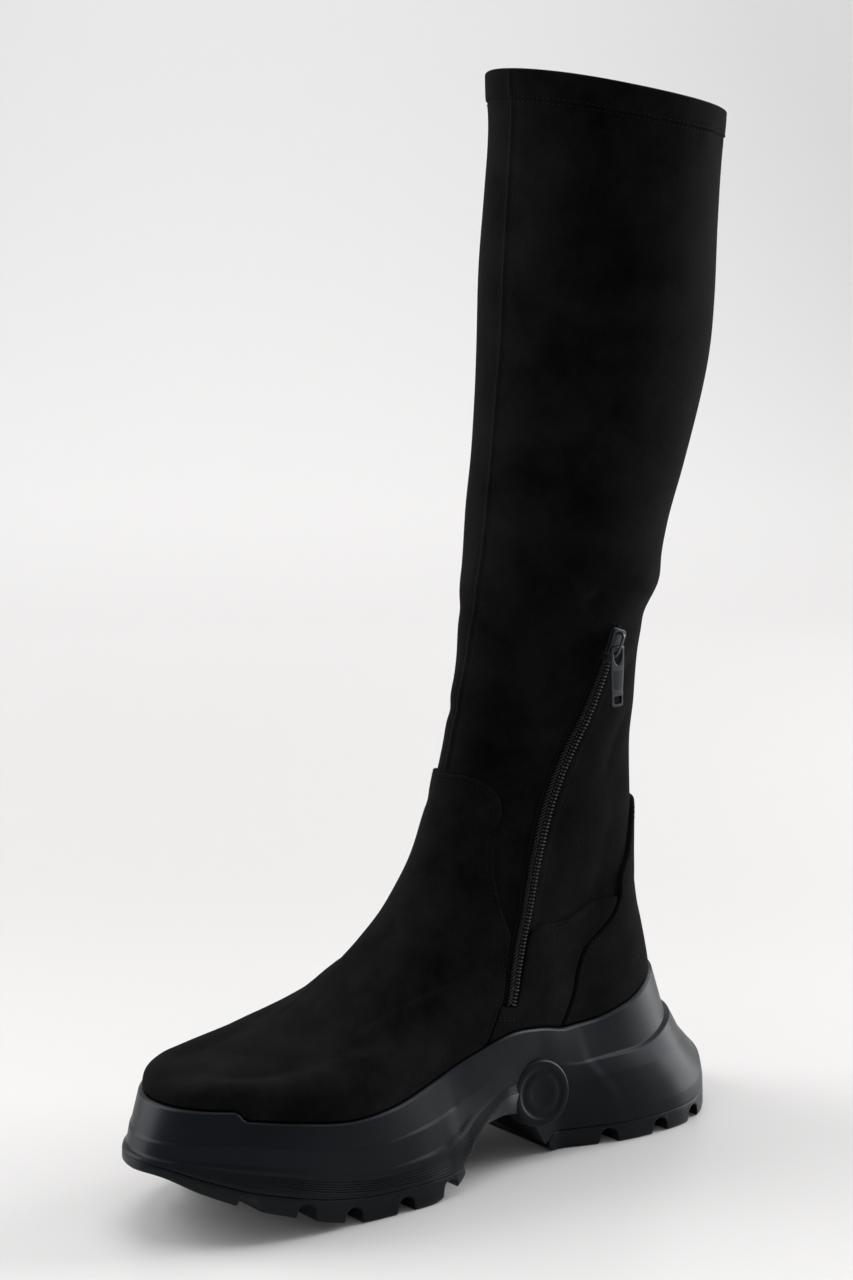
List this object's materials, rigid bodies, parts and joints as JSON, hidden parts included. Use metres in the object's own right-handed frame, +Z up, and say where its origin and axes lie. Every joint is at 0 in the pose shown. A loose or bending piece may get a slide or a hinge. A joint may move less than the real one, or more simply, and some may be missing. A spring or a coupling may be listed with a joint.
{
  "type": "knee-high boot",
  "caption": "Tall pull-on boot with a close stretch shaft, an inner ankle zip and a thick flared platform sole with a lugged tread.",
  "frame": {"origin": "middle of the bounding box, on the floor under the tread", "axes": "-Y towards the toe, +X towards the medial side with the zip, +Z up the shaft"},
  "size_m": [0.1016, 0.293, 0.4418],
  "materials": {
    "stretch_suede": "black stretch faux suede, soft nap",
    "panel_suede": "black faux suede overlays, soft nap",
    "midsole_foam": "dark slate moulded foam, matt",
    "outsole_rubber": "dark slate moulded rubber, matt",
    "insole_textile": "black textile sock lining",
    "zip_tape": "black woven zip tape",
    "zip_coil": "black nylon coil",
    "zip_metal": "dark gunmetal"
  },
  "bodies": {
    "boot": {"upper": "stretch_suede", "outsole_forefoot": "outsole_rubber", "outsole_heel": "outsole_rubber", "midsole": "midsole_foam", "insole": "insole_textile", "vamp_panel": "panel_suede", "counter_panel": "panel_suede", "quarter_medial": "panel_suede", "quarter_lateral": "panel_suede", "zip_tape": "zip_tape", "zip_chain": "zip_coil", "zip_slider": "zip_metal"},
    "pull": {"zip_pull": "zip_metal"}
  },
  "joints": [
    {"name": "pull_swing", "type": "hinge", "parent": "boot", "child": "pull", "pos_m": [0.03745, 0.07212, 0.21012], "axis": [0, -1, 0], "range_deg": [-6, 140]}
  ]
}
